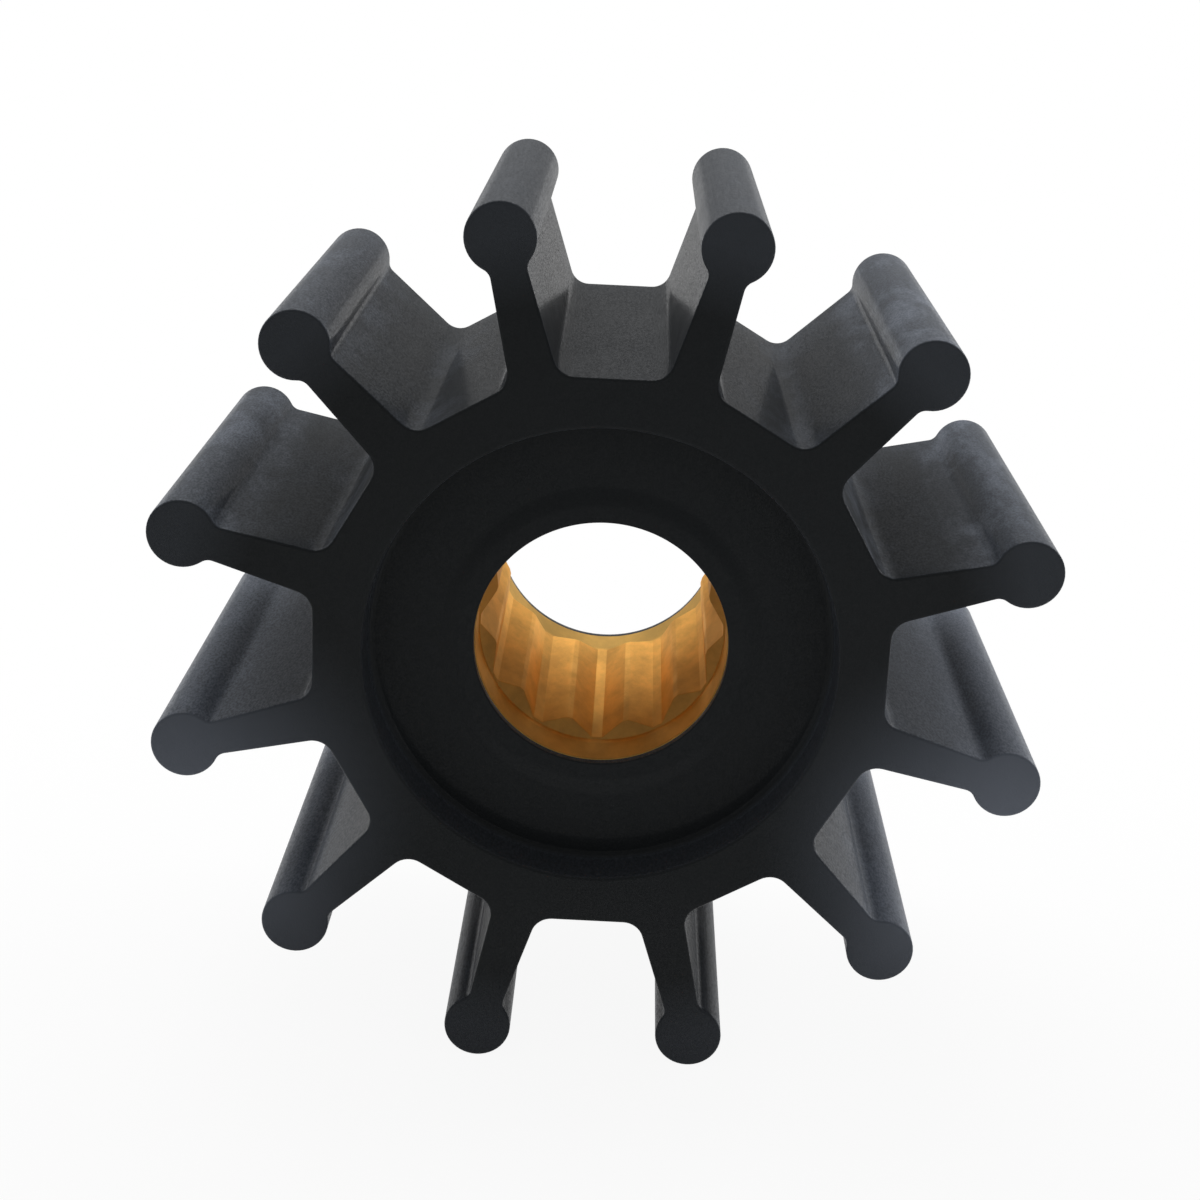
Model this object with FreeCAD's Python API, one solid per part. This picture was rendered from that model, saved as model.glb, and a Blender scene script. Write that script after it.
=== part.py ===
import FreeCAD, Part
import math
import os

# Flexible pump impeller: a hub with tapered vanes moulded in one piece of rubber
# round a splined brass insert.
# The shaft axis is Y, with the face shown first towards -Y. The origin is on the
# axis at half the width. The impeller stands on two neighbouring vane tips, with
# +Z up. Lengths are in millimetres and angles in degrees.

# Vanes
vane_count = 12
tip_diameter = 95.25        # across the tips of two opposite vanes
width = 50.8                # along the shaft, the same for the hub and the vanes
bead_diameter = 7.1         # round bead that seals against the pump's liner
neck_thickness = 3.7        # of the blade where it meets its bead
root_thickness = 4.9        # of the blade where it meets the hub
neck_fillet = 1.3
root_fillet = 2.2
edge_chamfer = 0.25         # broken edge of the moulding round both end faces

# Hub
hub_across_flats = 58.8     # the hub is flat between each two vanes
rim_width = 5.1             # from those flats to the round recess in each end face
recess_depth = 5.2
recess_floor_chamfer = 0.6  # both edges of the recess wall are broken by a cone
recess_edge_chamfer = 0.35
collar_width = 4.0          # low collar over the end of the insert, round each mouth of the bore
collar_height = 0.4
collar_slope_width = 2.4
skin_thickness = 0.6        # rubber that covers each end of the insert

# Insert
spline_count = 12
spline_major_diameter = 25.9
spline_height = 1.2
spline_root_flat = 1.1
spline_crest_flat = 0.6
lead_in_angle = 42.0        # half angle of the cone that leads a shaft into the splines
counterbore_step = 0.2      # counterbore over the spline roots, on the radius
counterbore_depth = 5.4     # from the end of the insert
insert_wall = 3.85          # of brass round the counterbore
insert_chamfer = 0.5

# Clearances
mouth_clearance = 0.1       # rubber mouth over the counterbore, on the radius
cut_overrun = 1.0           # how far a cutting solid runs past the face that it cuts

# Values that follow from the sizes above
pitch_angle = 360.0 / vane_count
half_pitch = math.radians(pitch_angle / 2)
first_vane_angle = -90.0 + pitch_angle / 2
half_width = width / 2
bead_radius = bead_diameter / 2
bead_centre = tip_diameter / 2 - bead_radius
hub_apothem = hub_across_flats / 2
blade_end = bead_centre - bead_radius
blade_length = blade_end - hub_apothem
recess_radius = hub_apothem - rim_width
recess_floor = half_width - recess_depth
spline_root_radius = spline_major_diameter / 2
spline_crest_radius = spline_root_radius - spline_height
counterbore_radius = spline_root_radius + counterbore_step
insert_radius = counterbore_radius + insert_wall
insert_end = recess_floor - skin_thickness
mouth_radius = counterbore_radius + mouth_clearance
collar_radius = mouth_radius + collar_width

# Fillets and edges, held to what their walls leave room for
neck_round = min(neck_fillet, blade_length / 4)
edge_break = min(edge_chamfer, neck_thickness / 8)
floor_break = min(recess_floor_chamfer, recess_depth / 3)
recess_break = min(recess_edge_chamfer, recess_depth / 3)
collar_rise = min(collar_height, recess_depth / 2)


def vector(x, y, z=0.0):
    return FreeCAD.Vector(x, y, z)


def unit(direction):
    length = math.hypot(direction[0], direction[1])
    return (direction[0] / length, direction[1] / length)


def cross_lines(point_a, along_a, point_b, along_b):
    """Where two lines of the vane's plane meet."""
    turn = along_a[0] * along_b[1] - along_a[1] * along_b[0]
    gap = (point_b[0] - point_a[0], point_b[1] - point_a[1])
    step = (gap[0] * along_b[1] - gap[1] * along_b[0]) / turn
    return (point_a[0] + step * along_a[0], point_a[1] + step * along_a[1])


def arc_middle(centre, start, end):
    """Middle of the shorter arc from start to end."""
    radius = math.hypot(start[0] - centre[0], start[1] - centre[1])
    towards = unit(((start[0] + end[0]) / 2 - centre[0], (start[1] + end[1]) / 2 - centre[1]))
    return (centre[0] + radius * towards[0], centre[1] + radius * towards[1])


# One half of a vane, seen along the shaft: x runs out along the vane, y to its side

def flank_line():
    """Where the blade's side leaves the hub, and its direction outwards."""
    root = (hub_apothem, root_thickness / 2)
    neck = (blade_end, neck_thickness / 2)
    return root, unit((neck[0] - root[0], neck[1] - root[1]))


def root_corner():
    """Tangent arc between the flat of the hub and the side of the blade."""
    root, along = flank_line()
    flat_normal = (math.cos(half_pitch), math.sin(half_pitch))
    flat_along = (-flat_normal[1], flat_normal[0])
    flat_point = (hub_apothem * flat_normal[0], hub_apothem * flat_normal[1])
    corner = cross_lines(root, along, flat_point, flat_along)
    flat_room = math.hypot(flat_point[0] - corner[0], flat_point[1] - corner[1])
    opening = math.acos(along[0] * flat_along[0] + along[1] * flat_along[1])
    longest_setback = min(0.9 * flat_room, blade_length / 3)
    radius = min(root_fillet, longest_setback * math.tan(opening / 2))
    setback = radius / math.tan(opening / 2)
    start = (corner[0] + setback * flat_along[0], corner[1] + setback * flat_along[1])
    end = (corner[0] + setback * along[0], corner[1] + setback * along[1])
    centre = (start[0] + radius * flat_normal[0], start[1] + radius * flat_normal[1])
    return start, arc_middle(centre, start, end), end


def neck_corner():
    """Tangent arc between the side of the blade and the bead."""
    root, along = flank_line()
    normal = (-along[1], along[0])
    reach = bead_radius + neck_round
    base = (root[0] + neck_round * normal[0], root[1] + neck_round * normal[1])
    to_base = (base[0] - bead_centre, base[1])
    half_b = to_base[0] * along[0] + to_base[1] * along[1]
    rest = to_base[0] ** 2 + to_base[1] ** 2 - reach ** 2
    step = -half_b - math.sqrt(half_b ** 2 - rest)
    centre = (base[0] + step * along[0], base[1] + step * along[1])
    start = (centre[0] - neck_round * normal[0], centre[1] - neck_round * normal[1])
    to_centre = unit((centre[0] - bead_centre, centre[1]))
    end = (bead_centre + bead_radius * to_centre[0], bead_radius * to_centre[1])
    return start, arc_middle(centre, start, end), end


def turned(point, angle):
    """A point of the vane's plane turned about the shaft, in the X-Z plane at y = 0."""
    x = point[0] * math.cos(angle) - point[1] * math.sin(angle)
    z = point[0] * math.sin(angle) + point[1] * math.cos(angle)
    return vector(x, 0.0, z)


def mirrored(point):
    return (point[0], -point[1])


def body_outline():
    """Closed outline of the hub and all vanes."""
    root_start, root_middle, root_end = root_corner()
    neck_start, neck_middle, neck_end = neck_corner()
    tip = (bead_centre + bead_radius, 0.0)
    edges = []
    for index in range(vane_count):
        angle = math.radians(first_vane_angle + index * pitch_angle)
        arcs = [
            (mirrored(root_start), mirrored(root_middle), mirrored(root_end)),
            (mirrored(neck_start), mirrored(neck_middle), mirrored(neck_end)),
            (mirrored(neck_end), tip, neck_end),
            (neck_end, neck_middle, neck_start),
            (root_end, root_middle, root_start),
        ]
        lines = [
            (mirrored(root_end), mirrored(neck_start)),
            (neck_start, root_end),
        ]
        for arc in arcs:
            edges.append(Part.Arc(*[turned(point, angle) for point in arc]).toShape())
        for line in lines:
            edges.append(Part.LineSegment(*[turned(point, angle) for point in line]).toShape())
        flat_start = turned(root_start, angle)
        flat_end = turned(mirrored(root_start), angle + 2 * half_pitch)
        edges.append(Part.LineSegment(flat_start, flat_end).toShape())
    return Part.Wire(Part.__sortEdges__(edges))


def end_face_edges(shape):
    """Edges of the moulding's outline on its two end faces."""
    found = []
    for face in shape.Faces:
        centre = face.CenterOfMass
        if abs(abs(centre.y) - half_width) < 1e-6:
            found.extend(face.OuterWire.Edges)
    return found


def turned_profile(corners):
    """Solid of revolution about the shaft. A corner is a (radius, y) point."""
    wire = Part.makePolygon([vector(*corner) for corner in corners + corners[:1]])
    return Part.Face(wire).revolve(vector(0, 0), vector(0, 1), 360)


def on_side(corners, side):
    """The same corners at the front (-1) or rear (1) end of the shaft."""
    return [(radius, side * y) for radius, y in corners]


def recess_tool(side):
    """What is taken out of one end face: the recess, but for its collar, and the mouth of the bore."""
    collar_top = recess_floor + collar_rise
    outside = half_width + cut_overrun
    corners = [
        (0.0, insert_end),
        (mouth_radius, insert_end),
        (mouth_radius, collar_top),
        (collar_radius - collar_slope_width, collar_top),
        (collar_radius, recess_floor),
        (recess_radius - floor_break, recess_floor),
        (recess_radius, recess_floor + floor_break),
        (recess_radius, half_width - recess_break),
        (recess_radius + recess_break, half_width),
        (recess_radius + recess_break, outside),
        (0.0, outside),
    ]
    return turned_profile(on_side(corners, side))


def insert_blank():
    """Outside of the brass insert, before it is bored."""
    corners = [
        (0.0, -insert_end),
        (insert_radius - insert_chamfer, -insert_end),
        (insert_radius, -insert_end + insert_chamfer),
        (insert_radius, insert_end - insert_chamfer),
        (insert_radius - insert_chamfer, insert_end),
        (0.0, insert_end),
    ]
    return turned_profile(corners)


def splined_bore():
    """Broached profile of the bore: blunt V teeth whose crests point at the vanes."""
    tooth_angle = 2 * math.pi / spline_count
    root_half = math.asin(spline_root_flat / 2 / spline_root_radius)
    crest_half = math.asin(spline_crest_flat / 2 / spline_crest_radius)
    points = []
    for index in range(spline_count):
        crest = math.radians(first_vane_angle) + index * tooth_angle
        groove = crest + tooth_angle / 2
        for radius, angle in (
            (spline_crest_radius, crest - crest_half),
            (spline_crest_radius, crest + crest_half),
            (spline_root_radius, groove - root_half),
            (spline_root_radius, groove + root_half),
        ):
            points.append(vector(radius * math.cos(angle), -half_width, radius * math.sin(angle)))
    wire = Part.makePolygon(points + points[:1])
    return Part.Face(wire).extrude(vector(0, width, 0))


def bore_end_tool(side):
    """Counterbore and conical lead-in at one end of the insert."""
    shoulder = insert_end - counterbore_depth
    cone_length = counterbore_radius / math.tan(math.radians(lead_in_angle))
    outside = insert_end + cut_overrun
    corners = [
        (0.0, shoulder - cone_length),
        (counterbore_radius, shoulder),
        (counterbore_radius, outside),
        (0.0, outside),
    ]
    return turned_profile(on_side(corners, side))


def brass_insert():
    shape = insert_blank().cut(splined_bore())
    for side in (-1, 1):
        shape = shape.cut(bore_end_tool(side))
    return shape


def rubber_body():
    outline = Part.Face(body_outline())
    outline.translate(vector(0, -half_width, 0))
    shape = outline.extrude(vector(0, width, 0))
    shape = shape.makeChamfer(edge_break, end_face_edges(shape))
    for side in (-1, 1):
        shape = shape.cut(recess_tool(side))
    return shape.cut(insert_blank())


def write_part(name, shape):
    """Write one piece, which has to come out as a single solid."""
    [solid] = shape.removeSplitter().Solids
    print(name, "valid", solid.isValid(), "volume", round(solid.Volume, 1), "faces", len(solid.Faces))
    solid.exportStep("parts/" + name + ".step")


os.makedirs("parts", exist_ok=True)
write_part("vaned_rubber_body", rubber_body())
write_part("splined_brass_insert", brass_insert())
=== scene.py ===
"""Looks of a flexible pump impeller: twelve rubber vanes moulded in one piece with
their hub, round a splined brass insert. Lengths are named in millimetres and turned
to metres by MM. The shaft axis is Y, with the front face towards -Y and +Z up."""

import math

import bmesh
import bpy
from mathutils import Matrix, Vector


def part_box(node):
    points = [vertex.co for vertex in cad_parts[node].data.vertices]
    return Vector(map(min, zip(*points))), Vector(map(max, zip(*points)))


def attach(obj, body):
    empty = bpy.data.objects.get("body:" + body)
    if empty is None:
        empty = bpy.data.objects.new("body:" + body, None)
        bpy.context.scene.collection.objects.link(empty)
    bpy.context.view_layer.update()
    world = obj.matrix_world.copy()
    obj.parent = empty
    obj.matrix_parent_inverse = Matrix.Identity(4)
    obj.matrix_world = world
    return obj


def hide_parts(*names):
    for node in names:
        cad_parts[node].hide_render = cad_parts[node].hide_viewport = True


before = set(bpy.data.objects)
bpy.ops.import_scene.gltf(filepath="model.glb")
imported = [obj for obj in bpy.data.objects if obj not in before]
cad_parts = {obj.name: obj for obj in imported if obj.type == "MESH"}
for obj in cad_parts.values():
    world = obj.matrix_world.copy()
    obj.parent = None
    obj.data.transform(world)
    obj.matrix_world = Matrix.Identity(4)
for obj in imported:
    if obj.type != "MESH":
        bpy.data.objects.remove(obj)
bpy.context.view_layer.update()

MM = 0.001
BODY = "root"
RUBBER_NODE = "vaned_rubber_body"
BRASS_NODE = "splined_brass_insert"

# Vanes
vane_count = 12
first_vane_angle = math.radians(-75)
bead_radius = 3.55 * MM
neck_half = 1.85 * MM           # half thickness of the blade where it meets its bead
root_half = 2.45 * MM           # and where it meets the hub
neck_fillet = 1.3 * MM
root_fillet = 2.2 * MM
edge_round = 0.3 * MM           # worn edge of the moulding round both end faces

# Hub and its end recesses
hub_apothem = 29.4 * MM
recess_radius = 24.3 * MM
recess_depth = 5.2 * MM
recess_floor_fillet = 0.8 * MM
recess_edge_round = 0.4 * MM
collar_outside = 17.25 * MM
collar_inside = 14.85 * MM      # where the collar's slope reaches its flat top
collar_height = 0.4 * MM
mouth_radius = 13.25 * MM
mouth_round = 0.2 * MM

# Splined bore of the insert
spline_count = 12
spline_root_radius = 12.95 * MM
spline_crest_radius = 11.75 * MM
spline_root_flat = 1.1 * MM
spline_crest_flat = 0.6 * MM
spline_edge_round = 0.09 * MM
counterbore_radius = 13.15 * MM
counterbore_depth = 5.4 * MM
lead_in_angle = math.radians(42)
insert_chamfer = 0.5 * MM
mouth_break = 0.15 * MM         # broken edge of the brass round each mouth
CREST_WEAR_AND_HIGHLIGHT = "crest_wear_and_highlight"       # named value on the insert's points, up to 1 on the spline crests, where they are worn and carry a painted highlight
crest_wear_and_highlight_end = 12 * MM        # from the middle plane, where that wear and painted highlight have faded out
crest_tolerance = 0.001 * MM    # points within this of the crest radius are on a crest

# Shading of edges
smooth_angle = math.radians(38) # edges that turn by less than this look smooth
worn_angle = math.radians(12)   # on the insert, those that turn by more than this are worn round

# Rubber, and the bloom that has come out of it, with painted light laid on in the bloom's grey. A bloom
# of 1 has the bloom's full colour.
rubber_black = "#1b1d1d"
bloom_and_light_grey = "#767c87"
rubber_draw = 0.4               # scale of the patterns along the shaft, which draws them out there
cloud_size = 6 * MM
cloud_spread = (0.3, 0.7)       # values that the noise of the clouds mostly keeps between
cloud_edge = (0.46, 0.64)       # values where a cloud begins, and where it is full
cloud_bloom = 0.33
grain_size = 0.22 * MM          # finer on real rubber: drawn as coarse as it needs to show
grain_spread = (0.35, 0.65)     # values that the noise of the grain mostly keeps between
grain_depth = 0.02 * MM
grain_strength = 0.7
end_face_edge = (0.8, 0.3)      # how squarely a surface faces along the shaft, where its bloom sets in
clouds_start = 9 * MM           # from the middle plane, where clouds begin to show
clouds_full = 24 * MM           # and where they are full
blade_clouds = 0.2              # share of the clouds that is left half way up a blade
blade_clouds_reach = 1.5 * MM   # to either side of there, from where they get thicker again
blade_clouds_end = 5.5 * MM     # and where they are as thick as anywhere
face_bloom = 0.03               # everywhere, and on the beads, where the extra is partly painted light
bead_bloom_and_light = 0.16
side_film = 0.05                # besides that on the outer sides, and on the wall of the recess, where it is painted light that lifts the recess's shade
recess_wall_light = 0.14
side_light_strength = 0.7
side_light_place = (44 * MM, 0, -20 * MM)     # middle of the even grey glow of painted light round the lower sides, the same at both sides
side_light_reach = 28 * MM
painted_light_left, painted_light_right = 0.9, 1.25     # how strong all of the bloom and painted light is at each side: painted light, stronger on the right as if lit more from there
speckle_share = 0.3
rubber_roughness = (0.48, 0.62)
rubber_index = 1.1              # 1.5 on clean rubber: lower here, as nearly all its gloss is the sheen
sheen_weight = (0.1, 0.32)
sheen_index = 1.35
sheen_roughness = 0.13

# Brass
brass_bare = "#f5bf68"
brass_tarnished = "#d8a95e"
# brown painted shade for the counterbores and the front of the bore
brass_shaded = "#8c8050"
# rubbed crests, partly a painted highlight
brass_rubbed_and_highlight = "#f8cc7c"
brass_edge_tint = "#fbe8cc"     # of what it mirrors at low angles
tarnish_size = 4 * MM
tarnish_draw = 0.5              # scale of the patches along the shaft
tarnish_edge = (0.4, 0.62)      # values of its noise where the tarnish begins, and where it is full
broaching_size = 0.35 * MM      # finer on real brass: drawn as coarse as it needs to show
broaching_draw = 0.08           # scale of the lines along the shaft
broaching_depth = 0.02 * MM
broaching_strength = 0.4
counterbore_shade = 0.5          # share of the brown painted shade on the counterbores
counterbore_shade_full = 0.8     # it is full from this share of their depth outwards
front_shade = 0.34               # share of a weaker painted shade that grows towards the front mouth
front_shade_start = -1.5 * MM    # where along the shaft it begins
front_shade_full = -9 * MM       # and where it is full
crest_rub_and_highlight = 0.35                # share of the rubbed colour on the crests, which is partly a painted highlight
rub_and_highlight_edge = (0.52, 0.4)          # values of the tarnish noise where it begins, and where it is full
rub_smoothing = 0.15            # how much less rough a rubbed crest is
brass_roughness = (0.5, 0.66)

# Studio
room_level = 0.32               # how bright the room looks
backdrop_level = 0.48           # and the backdrop behind the object, low down
backdrop_top = math.radians(4)  # it fades into the room from this height
backdrop_fade = math.radians(25)
backdrop_depth = (-0.3, 0.6)    # how far back a direction points, where the backdrop sets in
backdrop_left = 0.25            # how much of its light is left at its left side
backdrop_dimming = (0.2, -0.6)  # how far right a direction points, where that loss begins and ends
floor_radius = 8.0              # metres
card_colour = "#f6f6f6"
card_share_near = 0.92          # share of the floor's look that is its own white, round the object
card_share_far = 1.0            # and behind it
card_front = -78 * MM           # in front of this line a gloss sees no white of the card's own
card_front_fade = 25 * MM

# Camera, as fitted to the photograph
camera_place = Vector((1.39, -232.23, 76.18)) * MM
camera_aim = Vector((-0.46, 0, -1.93)) * MM
camera_roll = math.radians(2.66)
camera_lens = 64.97
camera_sensor = 36

# Values that follow
rubber_low, rubber_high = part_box(RUBBER_NODE)
_, brass_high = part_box(BRASS_NODE)
half_width = rubber_high.y
insert_end = brass_high.y
insert_radius = brass_high.x
floor_level = rubber_low.z
pitch = 2 * math.pi / vane_count
bead_centre = (-floor_level - bead_radius) / math.cos(pitch / 2)
blade_end = bead_centre - bead_radius
recess_floor = half_width - recess_depth
card_back = 4 * half_width


def unit(x, y):
    length = math.hypot(x, y)
    return x / length, y / length


def arc(centre, radius, start, end, count, hollow=False):
    """Points of an arc with the surface's outward normals. A hollow arc has its centre
    outside the rubber."""
    found = []
    for index in range(count + 1):
        angle = start + (end - start) * index / count
        across, up = math.cos(angle), math.sin(angle)
        point = (centre[0] + radius * across, centre[1] + radius * up)
        found.append((point, (-across, -up) if hollow else (across, up)))
    return found


def straight(start, end, normal, count):
    """Points inside a straight stretch, without its two ends."""
    found = []
    for index in range(1, count):
        share = index / count
        point = (start[0] + (end[0] - start[0]) * share, start[1] + (end[1] - start[1]) * share)
        found.append((point, normal))
    return found


def half_vane():
    """From the middle of the hub's flat to the tip of the bead, as (point, normal) pairs.
    x runs out along the vane and y to its side."""
    flat_steps, root_steps, blade_steps, neck_steps, bead_steps = 4, 8, 5, 7, 18
    flat_normal = (math.cos(pitch / 2), math.sin(pitch / 2))
    flat_middle = (hub_apothem * flat_normal[0], hub_apothem * flat_normal[1])
    along = unit(blade_end - hub_apothem, neck_half - root_half)
    side = (-along[1], along[0])

    # root fillet: its centre is one radius off the flat and off the blade
    reach_flat = hub_apothem + root_fillet
    reach_blade = -along[1] * hub_apothem + along[0] * root_half + root_fillet
    turn = flat_normal[0] * side[1] - flat_normal[1] * side[0]
    root_centre = (
        (reach_flat * side[1] - reach_blade * flat_normal[1]) / turn,
        (reach_blade * flat_normal[0] - reach_flat * side[0]) / turn,
    )
    flat_angle = math.atan2(-flat_normal[1], -flat_normal[0])
    blade_angle = math.atan2(-side[1], -side[0])
    root_arc = arc(root_centre, root_fillet, flat_angle, blade_angle, root_steps, hollow=True)

    # neck fillet: its centre is one radius off the blade and off the bead
    reach = bead_radius + neck_fillet
    off = reach_blade - root_fillet + neck_fillet
    to_bead = -along[1] * bead_centre
    across = off - to_bead
    back = math.sqrt(reach ** 2 - across ** 2)
    neck_centre = (
        bead_centre + side[0] * across - along[0] * back,
        side[1] * across - along[1] * back,
    )
    bead_angle = math.atan2(-neck_centre[1], bead_centre - neck_centre[0])
    neck_arc = arc(neck_centre, neck_fillet, blade_angle, bead_angle, neck_steps, hollow=True)

    bead_start = math.atan2(neck_centre[1], neck_centre[0] - bead_centre)
    bead_arc = arc((bead_centre, 0), bead_radius, bead_start, 0, bead_steps)

    points = [(flat_middle, flat_normal)]
    points += straight(flat_middle, root_arc[0][0], flat_normal, flat_steps)
    points += root_arc
    points += straight(root_arc[-1][0], neck_arc[0][0], side, blade_steps)
    points += neck_arc
    points += bead_arc[1:]
    return points


def body_outline():
    """Closed outline of the hub and all vanes, seen along the shaft, with outward normals."""
    half = half_vane()
    vane = [((x, -y), (nx, -ny)) for (x, y), (nx, ny) in half]
    vane += half[-2:0:-1]
    outline = []
    for index in range(vane_count):
        angle = first_vane_angle + index * pitch
        cos, sin = math.cos(angle), math.sin(angle)
        for (x, z), (nx, nz) in vane:
            point = (x * cos - z * sin, x * sin + z * cos)
            outline.append((point, (nx * cos - nz * sin, nx * sin + nz * cos)))
    return outline


def add_ring(mesh, points):
    return [mesh.verts.new(point) for point in points]


def join_rings(mesh, first, second):
    """Quads between two closed rings of as many points."""
    count = len(first)
    for index in range(count):
        after = (index + 1) % count
        mesh.faces.new((first[index], first[after], second[after], second[index]))


def recess_profile():
    """Section of one end from the rim of the recess to the insert's outside, as
    (radius, y) points."""
    rim_steps, corner_steps, lip_steps, slope_steps = 4, 6, 3, 4
    rim_centre = (recess_radius + recess_edge_round, half_width - recess_edge_round)
    rim = arc(rim_centre, recess_edge_round, math.radians(90), math.radians(180), rim_steps)
    corner_centre = (recess_radius - recess_floor_fillet, recess_floor + recess_floor_fillet)
    corner = arc(corner_centre, recess_floor_fillet, 0, math.radians(-90), corner_steps)
    lip_centre = (mouth_radius + mouth_round, recess_floor + collar_height - mouth_round)
    lip = arc(lip_centre, mouth_round, math.radians(90), math.radians(180), lip_steps)
    slope = []
    for step in range(slope_steps + 1):
        share = step / slope_steps
        rise = collar_height * (3 - 2 * share) * share ** 2
        slope.append((collar_outside + (collar_inside - collar_outside) * share, recess_floor + rise))
    seat = [
        (mouth_radius, insert_end),
        (insert_radius - insert_chamfer, insert_end),
        (insert_radius, insert_end - insert_chamfer),
    ]
    floor = [((collar_outside + recess_radius - recess_floor_fillet) / 2, recess_floor)]
    return [p for p, _ in rim] + [p for p, _ in corner] + floor + slope + [p for p, _ in lip] + seat


def finished_piece(name, mesh, material, node):
    """A piece of the object from a bmesh, shaded smooth but for its sharp edges."""
    bmesh.ops.recalc_face_normals(mesh, faces=mesh.faces)
    for face in mesh.faces:
        face.smooth = True
    for edge in mesh.edges:
        edge.smooth = edge.calc_face_angle(0) < smooth_angle
    data = bpy.data.meshes.new(name)
    mesh.to_mesh(data)
    mesh.free()
    piece = bpy.data.objects.new(name, data)
    bpy.context.scene.collection.objects.link(piece)
    piece.data.materials.append(material)
    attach(piece, BODY)
    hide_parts(node)
    return piece


def rubber_moulding(material):
    """Hub, vanes and end recesses as one closed mesh."""
    mesh = bmesh.new()
    outline = body_outline()
    per_vane = len(outline) // vane_count
    arc_steps = 16                  # of the recess circle for each vane
    ring_steps = vane_count * arc_steps
    round_steps = 4
    length_steps = 16

    # rings of the outline down the length, drawn in a little over the worn edges
    side_rings = []
    for step in range(round_steps + 1):
        angle = math.pi / 2 * step / round_steps
        inset = edge_round * (1 - math.sin(angle))
        side_rings.append((inset, -half_width + edge_round * (1 - math.cos(angle))))
    straight_length = 2 * (half_width - edge_round)
    for step in range(1, length_steps):
        side_rings.append((0, -half_width + edge_round + straight_length * step / length_steps))
    side_rings += [(inset, -y) for inset, y in side_rings[round_steps::-1]]

    rings = []
    for inset, y in side_rings:
        points = [(x - inset * nx, y, z - inset * nz) for (x, z), (nx, nz) in outline]
        rings.append(add_ring(mesh, points))
    for first, second in zip(rings, rings[1:]):
        join_rings(mesh, first, second)

    # the same through the middle, from one recess past the insert to the other
    inner_rings = []
    profile = recess_profile()
    whole_profile = [(radius, -y) for radius, y in profile] + profile[::-1]
    start_angle = first_vane_angle - pitch / 2
    for radius, y in whole_profile:
        points = []
        for step in range(ring_steps):
            angle = start_angle + 2 * math.pi * step / ring_steps
            points.append((radius * math.cos(angle), y, radius * math.sin(angle)))
        inner_rings.append(add_ring(mesh, points))
    for first, second in zip(inner_rings, inner_rings[1:]):
        join_rings(mesh, first, second)

    # the two flat end faces, one face for each vane
    for outer, inner in ((rings[0], inner_rings[0]), (rings[-1], inner_rings[-1])):
        for index in range(vane_count):
            edge = [outer[(index * per_vane + k) % len(outer)] for k in range(per_vane + 1)]
            hub = [inner[(index * arc_steps + k) % ring_steps] for k in range(arc_steps + 1)]
            mesh.faces.new(edge + hub[::-1])
    piece = finished_piece("vaned_rubber_moulding", mesh, material, RUBBER_NODE)
    shading = piece.modifiers.new("flat faces stay flat", "WEIGHTED_NORMAL")
    shading.keep_sharp = True
    return piece


def spline_profile():
    """(angle, radius) of one spline pitch, from the middle of a crest to the next: straight
    flats and flanks."""
    tooth = 2 * math.pi / spline_count
    crest_half = math.asin(spline_crest_flat / 2 / spline_crest_radius)
    root_half_angle = math.asin(spline_root_flat / 2 / spline_root_radius)
    corners = [
        (-crest_half, spline_crest_radius),
        (crest_half, spline_crest_radius),
        (tooth / 2 - root_half_angle, spline_root_radius),
        (tooth / 2 + root_half_angle, spline_root_radius),
        (tooth - crest_half, spline_crest_radius),
    ]
    flat_steps, flank_steps = 3, 7
    stretches = zip(corners, corners[1:], (flat_steps, flank_steps, flat_steps, flank_steps))
    found = []
    for (angle_a, radius_a), (angle_b, radius_b), steps in stretches:
        ax, ay = radius_a * math.cos(angle_a), radius_a * math.sin(angle_a)
        bx, by = radius_b * math.cos(angle_b), radius_b * math.sin(angle_b)
        for step in range(steps):
            share = step / steps
            x, y = ax + (bx - ax) * share, ay + (by - ay) * share
            found.append((math.atan2(y, x), math.hypot(x, y)))
    return found


def bore_column(radius):
    """(radius, y) down one line of the insert, from the outside of its front end through the
    bore to the rear. The spline has this radius here."""
    cone_rows, spline_rows = 3, 14
    shoulder = insert_end - counterbore_depth
    meets = shoulder - (counterbore_radius - radius) / math.tan(lead_in_angle)
    half = [
        (insert_radius, insert_end - insert_chamfer),
        (insert_radius - insert_chamfer, insert_end),
        (counterbore_radius + mouth_break, insert_end),
        (counterbore_radius, insert_end - mouth_break),
        (counterbore_radius, (insert_end + shoulder) / 2),
        (counterbore_radius, shoulder),
    ]
    for row in range(1, cone_rows + 1):
        share = row / cone_rows
        half.append((counterbore_radius + (radius - counterbore_radius) * share,
                     shoulder + (meets - shoulder) * share))
    middle = [(radius, -meets + 2 * meets * row / spline_rows) for row in range(1, spline_rows)]
    return [(r, -y) for r, y in half] + middle + half[::-1]


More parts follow.
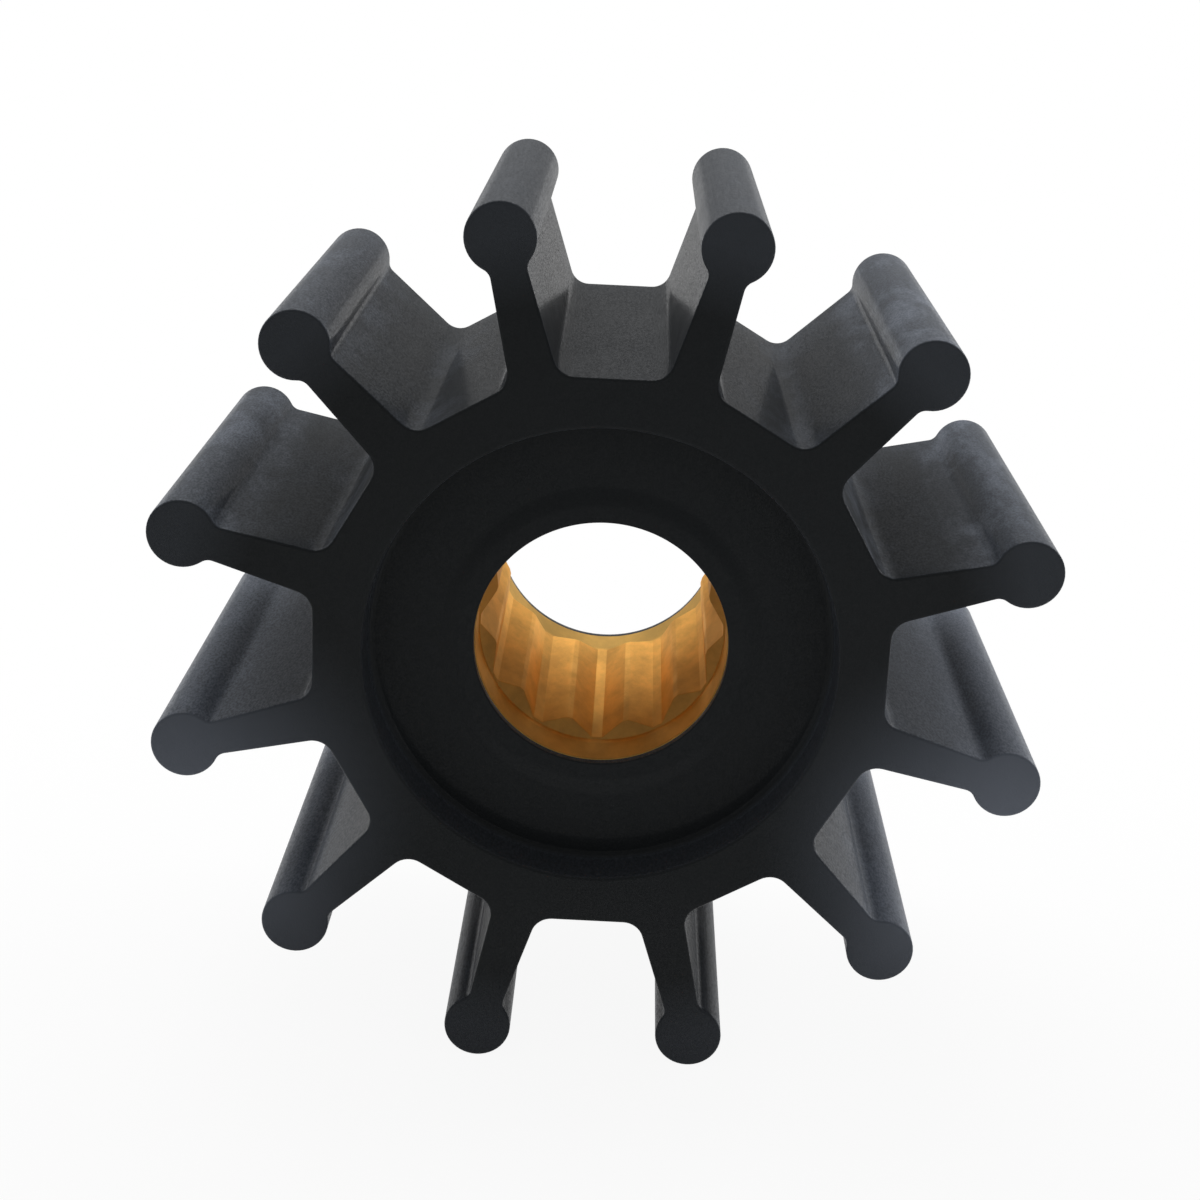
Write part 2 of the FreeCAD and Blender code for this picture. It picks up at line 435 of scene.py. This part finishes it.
def brass_bush(material):
    """Splined insert, with a counterbore and a conical lead-in at both ends."""
    mesh = bmesh.new()
    wear_and_highlight_layer = mesh.verts.layers.float.new(CREST_WEAR_AND_HIGHLIGHT)
    tooth = 2 * math.pi / spline_count
    columns = []
    for index in range(spline_count):
        for angle, radius in spline_profile():
            columns.append((first_vane_angle + index * tooth + angle, radius))

    crest_limit = spline_crest_radius + crest_tolerance
    grid = []
    for angle, radius in columns:
        points = bore_column(radius)
        grid.append(add_ring(mesh, [(r * math.cos(angle), y, r * math.sin(angle)) for r, y in points]))
        # the crests get the mask for wear and painted highlight, which fades towards both mouths
        for vertex, (r, y) in zip(grid[-1], points):
            faded = max(0, 1 - (y / crest_wear_and_highlight_end) ** 2)
            vertex[wear_and_highlight_layer] = faded if r <= crest_limit else 0
    for first, second in zip(grid, grid[1:] + grid[:1]):
        join_rings(mesh, first, second)
    piece = finished_piece("splined_brass_bush", mesh, material, BRASS_NODE)
    wear = piece.modifiers.new("worn spline edges", "BEVEL")
    wear.width = spline_edge_round
    wear.segments = 2
    wear.limit_method = "ANGLE"
    wear.angle_limit = worn_angle
    wear.harden_normals = True
    return piece


# Materials

MIX_FACTOR, MIX_A, MIX_B, MIX_RESULT = 0, 6, 7, 2      # colour sockets of the Mix node
MIX_FLOAT_A, MIX_FLOAT_B, MIX_FLOAT_RESULT = 2, 3, 0   # and its sockets for single values


def linear(code):
    """Linear colour of an sRGB hex code."""
    channels = []
    for start in (1, 3, 5):
        value = int(code[start:start + 2], 16) / 255
        channels.append(value / 12.92 if value <= 0.04045 else ((value + 0.055) / 1.055) ** 2.4)
    return (*channels, 1.0)


def per_size(size):
    """Scale of a texture whose features are about that large."""
    return 1 / size


def add_node(tree, kind, values=None, links=None, **settings):
    """One node with its settings, its fixed input values and the outputs linked to its inputs."""
    node = tree.nodes.new(kind)
    for name, value in settings.items():
        setattr(node, name, value)
    for socket, value in (values or {}).items():
        node.inputs[socket].default_value = value
    for socket, output in (links or {}).items():
        tree.links.new(output, node.inputs[socket])
    return node


def new_material(name):
    """An empty material and its node tree."""
    material = bpy.data.materials.new(name)
    material.use_nodes = True
    material.node_tree.nodes.clear()
    return material, material.node_tree


def bloom_and_painted_light_on_rubber(tree, place, cloud, grain):
    """How much bloom, and painted light in the bloom's grey, lies on the rubber, from 0 to 1, as an
    output of the tree.
    """
    spot = add_node(tree, "ShaderNodeSeparateXYZ", links={0: place})
    folded = add_node(tree, "ShaderNodeVectorMath", links={0: place}, operation="ABSOLUTE").outputs[0]
    from_middle = add_node(tree, "ShaderNodeSeparateXYZ", links={0: folded}).outputs["X"]
    from_axis = add_node(tree, "ShaderNodeVectorMath", {1: (1, 0, 1)}, {0: place},
                         operation="MULTIPLY").outputs[0]
    reach = add_node(tree, "ShaderNodeVectorMath", links={0: from_axis},
                     operation="LENGTH").outputs["Value"]

    # a thin even bloom, thicker on the beads, and again on their sides away from the middle: the
    # thickening is partly painted light, for beads that stand clear of the shade between the vanes
    even = add_node(tree, "ShaderNodeMapRange",
                    {"From Min": blade_end - bead_radius, "From Max": bead_centre,
                     "To Min": face_bloom, "To Max": bead_bloom_and_light}, {"Value": reach}).outputs["Result"]
    sideways = add_node(tree, "ShaderNodeMapRange", {"From Min": clouds_start, "From Max": clouds_full},
                        {"Value": from_middle}).outputs["Result"]
    on_beads = add_node(tree, "ShaderNodeMath", links={0: even, 1: sideways},
                        operation="MULTIPLY").outputs[0]

    # clouds where the rubber is thick: on the hub and the beads, less on the blades
    patches = add_node(tree, "ShaderNodeMapRange",
                       {"From Min": cloud_edge[0], "From Max": cloud_edge[1], "To Max": cloud_bloom},
                       {"Value": cloud}).outputs["Result"]
    off_blade = add_node(tree, "ShaderNodeMath", {1: (hub_apothem + blade_end) / 2}, {0: reach},
                         operation="SUBTRACT").outputs[0]
    from_blade = add_node(tree, "ShaderNodeMath", links={0: off_blade},
                          operation="ABSOLUTE").outputs[0]
    thick = add_node(tree, "ShaderNodeMapRange",
                     {"From Min": blade_clouds_reach, "From Max": blade_clouds_end,
                      "To Min": blade_clouds}, {"Value": from_blade}).outputs["Result"]
    placed = add_node(tree, "ShaderNodeMath", links={0: sideways, 1: thick},
                      operation="MULTIPLY").outputs[0]
    clouds_and_bead_light = add_node(tree, "ShaderNodeMath", links={0: patches, 1: placed, 2: on_beads},
                      operation="MULTIPLY_ADD").outputs[0]

    # clouds keep to the outer sides, which a thin film covers as well; the recess wall gets a paler
    # grey, painted light that lifts its shade
    facing = add_node(tree, "ShaderNodeNewGeometry").outputs["Normal"]
    unsigned = add_node(tree, "ShaderNodeVectorMath", links={0: facing},
                        operation="ABSOLUTE").outputs[0]
    endwise = add_node(tree, "ShaderNodeSeparateXYZ", links={0: unsigned}).outputs["Y"]
    off_ends = add_node(tree, "ShaderNodeMapRange",
                        {"From Min": end_face_edge[0], "From Max": end_face_edge[1]},
                        {"Value": endwise}).outputs["Result"]
    outside = add_node(tree, "ShaderNodeMath", {1: (recess_radius + hub_apothem) / 2}, {0: reach},
                       operation="GREATER_THAN").outputs[0]
    thin_film_and_recess_light = add_node(tree, "ShaderNodeMapRange", {"To Min": recess_wall_light, "To Max": side_film},
                         {"Value": outside}).outputs["Result"]
    tone_share = add_node(tree, "ShaderNodeMath", links={0: clouds_and_bead_light, 1: outside, 2: thin_film_and_recess_light},
                    operation="MULTIPLY_ADD").outputs[0]
    on_sides = add_node(tree, "ShaderNodeMath", links={0: tone_share, 1: off_ends, 2: even},
                        operation="MULTIPLY_ADD").outputs[0]

    # painted light: an even pale glow round both lower sides, standing in for the lit floor that they
    # face and mirror
    beside = add_node(tree, "ShaderNodeCombineXYZ",
                      links={"X": from_middle, "Z": spot.outputs["Z"]}).outputs[0]
    away = add_node(tree, "ShaderNodeVectorMath", {1: side_light_place}, {0: beside},
                    operation="DISTANCE").outputs["Value"]
    side_light = add_node(tree, "ShaderNodeMapRange",
                    {"From Min": side_light_reach, "From Max": 0, "To Max": side_light_strength},
                    {"Value": away}, interpolation_type="SMOOTHSTEP").outputs["Result"]
    general = add_node(tree, "ShaderNodeMix", {MIX_FLOAT_B: 1.0},
                       {MIX_FACTOR: side_light, MIX_FLOAT_A: on_sides},
                       data_type="FLOAT").outputs[MIX_FLOAT_RESULT]

    # all of it stronger to the right, as painted light for more light from that side, and speckled by
    # the grain off the end faces
    rightwards = add_node(tree, "ShaderNodeMapRange",
                          {"From Min": -clouds_full, "From Max": clouds_full,
                           "To Min": painted_light_left, "To Max": painted_light_right},
                          {"Value": spot.outputs["X"]}).outputs["Result"]
    specks = add_node(tree, "ShaderNodeMapRange",
                      {"From Min": grain_spread[0], "From Max": grain_spread[1],
                       "To Min": -speckle_share, "To Max": speckle_share},
                      {"Value": grain}).outputs["Result"]
    strength = add_node(tree, "ShaderNodeMath", links={0: specks, 1: off_ends, 2: rightwards},
                        operation="MULTIPLY_ADD").outputs[0]
    return add_node(tree, "ShaderNodeMath", links={0: general, 1: strength},
                    operation="MULTIPLY", use_clamp=True).outputs[0]


def moulded_neoprene():
    """Black neoprene, compression moulded: dull and finely grained under a thin sheen that
    mirrors clearly at low angles. A blue-grey bloom has come out of it, in cloudy patches on the
    sides of hub and vanes; the end faces have none. Its grey is also painted light: an even pale
    glow round both lower sides, and more of it on the beads, on the recess wall and on the right."""
    material, tree = new_material("moulded_black_neoprene")
    place = add_node(tree, "ShaderNodeTexCoord").outputs["Object"]
    drawn = add_node(tree, "ShaderNodeMapping", {"Scale": (1, rubber_draw, 1)},
                     {"Vector": place}).outputs[0]
    cloud = add_node(tree, "ShaderNodeTexNoise",
                     {"Scale": per_size(cloud_size), "Detail": 8, "Roughness": 0.68,
                      "Distortion": 0.3}, {"Vector": drawn}).outputs["Fac"]
    grain = add_node(tree, "ShaderNodeTexNoise",
                     {"Scale": per_size(grain_size), "Detail": 2, "Roughness": 0.6},
                     {"Vector": drawn}).outputs["Fac"]
    # the bloom together with painted light in the same grey: a glow round both lower sides, lighter
    # beads and recess wall, and more on the right
    bloom = bloom_and_painted_light_on_rubber(tree, place, cloud, grain)
    colour = add_node(tree, "ShaderNodeMix",
                      {MIX_A: linear(rubber_black), MIX_B: linear(bloom_and_light_grey)},
                      {MIX_FACTOR: bloom}, data_type="RGBA").outputs[MIX_RESULT]
    roughness = add_node(tree, "ShaderNodeMapRange",
                         {"From Min": cloud_spread[0], "From Max": cloud_spread[1],
                          "To Min": rubber_roughness[0], "To Max": rubber_roughness[1]},
                         {"Value": cloud}).outputs["Result"]
    sheen = add_node(tree, "ShaderNodeMapRange",
                     {"From Min": grain_spread[0], "From Max": grain_spread[1],
                      "To Min": sheen_weight[0], "To Max": sheen_weight[1]},
                     {"Value": grain}).outputs["Result"]
    skin = add_node(tree, "ShaderNodeBump", {"Strength": grain_strength, "Distance": grain_depth},
                    {"Height": grain}).outputs["Normal"]
    shader = add_node(tree, "ShaderNodeBsdfPrincipled",
                      {"IOR": rubber_index, "Coat Roughness": sheen_roughness, "Coat IOR": sheen_index},
                      {"Base Color": colour, "Roughness": roughness, "Normal": skin,
                       "Coat Weight": sheen})
    add_node(tree, "ShaderNodeOutputMaterial", links={"Surface": shader.outputs[0]})
    return material


def broached_brass():
    """Brass, turned and broached, then dulled in store: satin, with brown tarnish in patches
    and brown painted shade on the counterbores and towards the front mouth. The crests of the splines
    are worn bright by rubbing in places, but not near the mouths; that brighter colour is partly a
    painted highlight."""
    material, tree = new_material("broached_brass")
    place = add_node(tree, "ShaderNodeTexCoord").outputs["Object"]
    drawn = add_node(tree, "ShaderNodeMapping", {"Scale": (1, tarnish_draw, 1)},
                     {"Vector": place}).outputs[0]
    tarnish = add_node(tree, "ShaderNodeTexNoise",
                       {"Scale": per_size(tarnish_size), "Detail": 7, "Roughness": 0.65},
                       {"Vector": drawn}).outputs["Fac"]
    share = add_node(tree, "ShaderNodeMapRange",
                     {"From Min": tarnish_edge[0], "From Max": tarnish_edge[1]},
                     {"Value": tarnish}).outputs["Result"]
    aged = add_node(tree, "ShaderNodeMix",
                    {MIX_A: linear(brass_bare), MIX_B: linear(brass_tarnished)},
                    {MIX_FACTOR: share}, data_type="RGBA").outputs[MIX_RESULT]

    # painted shade in brown: from the shoulder of each counterbore, and a weaker one that grows to the
    # front, where less light reaches into the bore
    folded = add_node(tree, "ShaderNodeVectorMath", links={0: place}, operation="ABSOLUTE").outputs[0]
    from_middle = add_node(tree, "ShaderNodeSeparateXYZ", links={0: folded}).outputs["Y"]
    on_counterbore = add_node(tree, "ShaderNodeMapRange",
                              {"From Min": insert_end - counterbore_depth,
                               "From Max": insert_end - counterbore_shade_full * counterbore_depth,
                               "To Max": counterbore_shade},
                              {"Value": from_middle}).outputs["Result"]
    along = add_node(tree, "ShaderNodeSeparateXYZ", links={0: place}).outputs["Y"]
    forward = add_node(tree, "ShaderNodeMapRange",
                       {"From Min": front_shade_start, "From Max": front_shade_full,
                        "To Max": front_shade}, {"Value": along}).outputs["Result"]
    tone_share = add_node(tree, "ShaderNodeMath", links={0: on_counterbore, 1: forward},
                    operation="MAXIMUM").outputs[0]
    shaded = add_node(tree, "ShaderNodeMix", {MIX_B: linear(brass_shaded)},
                      {MIX_FACTOR: tone_share, MIX_A: aged}, data_type="RGBA").outputs[MIX_RESULT]

    # the crests are rubbed, and given a painted highlight, where there is little tarnish
    crest = add_node(tree, "ShaderNodeAttribute", attribute_name=CREST_WEAR_AND_HIGHLIGHT).outputs["Fac"]
    rub_and_highlight = add_node(tree, "ShaderNodeMapRange",
                      {"From Min": rub_and_highlight_edge[0], "From Max": rub_and_highlight_edge[1], "To Max": crest_rub_and_highlight},
                      {"Value": tarnish}).outputs["Result"]
    bright = add_node(tree, "ShaderNodeMath", links={0: crest, 1: rub_and_highlight},
                      operation="MULTIPLY").outputs[0]
    colour = add_node(tree, "ShaderNodeMix", {MIX_B: linear(brass_rubbed_and_highlight)},
                      {MIX_FACTOR: bright, MIX_A: shaded}, data_type="RGBA").outputs[MIX_RESULT]
    dull = add_node(tree, "ShaderNodeMapRange",
                    {"To Min": brass_roughness[0], "To Max": brass_roughness[1]},
                    {"Value": tarnish}).outputs["Result"]
    roughness = add_node(tree, "ShaderNodeMath", {1: -rub_smoothing}, {0: bright, 2: dull},
                         operation="MULTIPLY_ADD").outputs[0]

    # fine lines that the broach has left along the bore
    stroke = add_node(tree, "ShaderNodeMapping", {"Scale": (1, broaching_draw, 1)},
                      {"Vector": place}).outputs[0]
    lines = add_node(tree, "ShaderNodeTexNoise",
                     {"Scale": per_size(broaching_size), "Detail": 3, "Roughness": 0.6},
                     {"Vector": stroke}).outputs["Fac"]
    marks = add_node(tree, "ShaderNodeBump",
                     {"Strength": broaching_strength, "Distance": broaching_depth},
                     {"Height": lines}).outputs["Normal"]
    shader = add_node(tree, "ShaderNodeBsdfPrincipled",
                      {"Metallic": 1.0, "Specular Tint": linear(brass_edge_tint)},
                      {"Base Color": colour, "Roughness": roughness, "Normal": marks})
    add_node(tree, "ShaderNodeOutputMaterial", links={"Surface": shader.outputs[0]})
    return material


def pale_floor():
    """Matt white card. Most of what the camera sees of it is its own white, all of it behind
    the object. The rest is lit, and keeps the object's soft shadow. A gloss shows the same white,
    but for the card well in front of the object."""
    material, tree = new_material("white_card")
    card = add_node(tree, "ShaderNodeBsdfDiffuse", {"Color": linear(card_colour)})
    white = add_node(tree, "ShaderNodeEmission", {"Color": (1, 1, 1, 1), "Strength": 1.0})
    place = add_node(tree, "ShaderNodeNewGeometry").outputs["Position"]
    depth = add_node(tree, "ShaderNodeSeparateXYZ", links={0: place}).outputs["Y"]
    own = add_node(tree, "ShaderNodeMapRange",
                   {"From Min": -half_width, "From Max": card_back,
                    "To Min": card_share_near, "To Max": card_share_far},
                   {"Value": depth}, interpolation_type="SMOOTHSTEP").outputs["Result"]
    front = add_node(tree, "ShaderNodeMapRange",
                     {"From Min": card_front, "From Max": card_front + card_front_fade},
                     {"Value": depth}, interpolation_type="SMOOTHSTEP").outputs["Result"]
    path = add_node(tree, "ShaderNodeLightPath")
    in_gloss = add_node(tree, "ShaderNodeMath",
                        links={0: path.outputs["Is Glossy Ray"], 1: path.outputs["Is Transmission Ray"]},
                        operation="MAXIMUM").outputs[0]
    mirrored = add_node(tree, "ShaderNodeMath", links={0: in_gloss, 1: front},
                        operation="MULTIPLY").outputs[0]
    seen = add_node(tree, "ShaderNodeMath", links={0: path.outputs["Is Camera Ray"], 1: mirrored},
                    operation="MAXIMUM").outputs[0]
    share = add_node(tree, "ShaderNodeMath", links={0: seen, 1: own},
                     operation="MULTIPLY").outputs[0]
    mix = add_node(tree, "ShaderNodeMixShader",
                   links={0: share, 1: card.outputs[0], 2: white.outputs[0]})
    add_node(tree, "ShaderNodeOutputMaterial", links={"Surface": mix.outputs[0]})
    return material


def add_floor():
    mesh = bmesh.new()
    bmesh.ops.create_circle(mesh, cap_ends=True, segments=64, radius=floor_radius)
    data = bpy.data.meshes.new("floor")
    mesh.to_mesh(data)
    mesh.free()
    data.transform(Matrix.Translation((0, 0, floor_level)))
    data.materials.append(pale_floor())
    floor = bpy.data.objects.new("floor", data)
    bpy.context.scene.collection.objects.link(floor)


def add_world():
    """A grey room with a paler backdrop behind the object and round both sides. The backdrop is
    lit low down, and less on its left."""
    world = bpy.data.worlds.new("studio")
    world.use_nodes = True
    tree = world.node_tree
    tree.nodes.clear()
    towards = add_node(tree, "ShaderNodeTexCoord").outputs["Generated"]
    heading = add_node(tree, "ShaderNodeSeparateXYZ", links={0: towards})
    behind = add_node(tree, "ShaderNodeMapRange",
                      {"From Min": backdrop_depth[0], "From Max": backdrop_depth[1]},
                      {"Value": heading.outputs["Y"]},
                      interpolation_type="SMOOTHSTEP").outputs["Result"]
    leftwards = add_node(tree, "ShaderNodeMapRange",
                         {"From Min": backdrop_dimming[0], "From Max": backdrop_dimming[1],
                          "To Min": 1, "To Max": backdrop_left},
                         {"Value": heading.outputs["X"]}).outputs["Result"]
    low = add_node(tree, "ShaderNodeMapRange",
                   {"From Min": math.sin(backdrop_fade), "From Max": math.sin(backdrop_top)},
                   {"Value": heading.outputs["Z"]},
                   interpolation_type="SMOOTHSTEP").outputs["Result"]
    lit = add_node(tree, "ShaderNodeMath", links={0: behind, 1: low}, operation="MULTIPLY").outputs[0]
    backdrop = add_node(tree, "ShaderNodeMath", links={0: lit, 1: leftwards},
                        operation="MULTIPLY").outputs[0]
    level = add_node(tree, "ShaderNodeMapRange", {"To Min": room_level, "To Max": backdrop_level},
                     {"Value": backdrop}).outputs["Result"]
    light = add_node(tree, "ShaderNodeBackground", {"Color": (1, 1, 1, 1)}, {"Strength": level})
    add_node(tree, "ShaderNodeOutputWorld", links={"Surface": light.outputs[0]})
    bpy.context.scene.world = world


def add_softbox(name, place, side, radiance):
    """A square soft light turned to the object, its place and side in metres. Its power
    follows from how bright its face looks."""
    lamp = bpy.data.lights.new(name, "AREA")
    lamp.shape = "SQUARE"
    lamp.size = side
    lamp.energy = math.pi * side ** 2 * radiance
    box = bpy.data.objects.new(name, lamp)
    box.location = place
    box.rotation_euler = (-Vector(place)).to_track_quat("-Z", "Y").to_euler()
    bpy.context.scene.collection.objects.link(box)


def add_camera():
    """The photograph's view: from above the front face, tilted a little."""
    data = bpy.data.cameras.new("camera")
    data.lens = camera_lens
    data.sensor_width = camera_sensor
    camera = bpy.data.objects.new("camera", data)
    look = (camera_aim - camera_place).to_track_quat("-Z", "Y").to_matrix()
    camera.rotation_euler = (look @ Matrix.Rotation(camera_roll, 3, "Z")).to_euler()
    camera.location = camera_place
    bpy.context.scene.collection.objects.link(camera)
    bpy.context.scene.camera = camera


rubber_moulding(moulded_neoprene())
brass_bush(broached_brass())
add_floor()
add_world()
add_softbox("key", place=(-0.07, 0.28, 0.49), side=0.5, radiance=2.7)
add_softbox("right strip", place=(0.44, 0.26, 0.2), side=0.26, radiance=4.5)
add_softbox("left strip", place=(-0.46, 0.26, 0.2), side=0.26, radiance=2.5)
add_camera()
bpy.context.scene.view_settings.view_transform = "Standard"
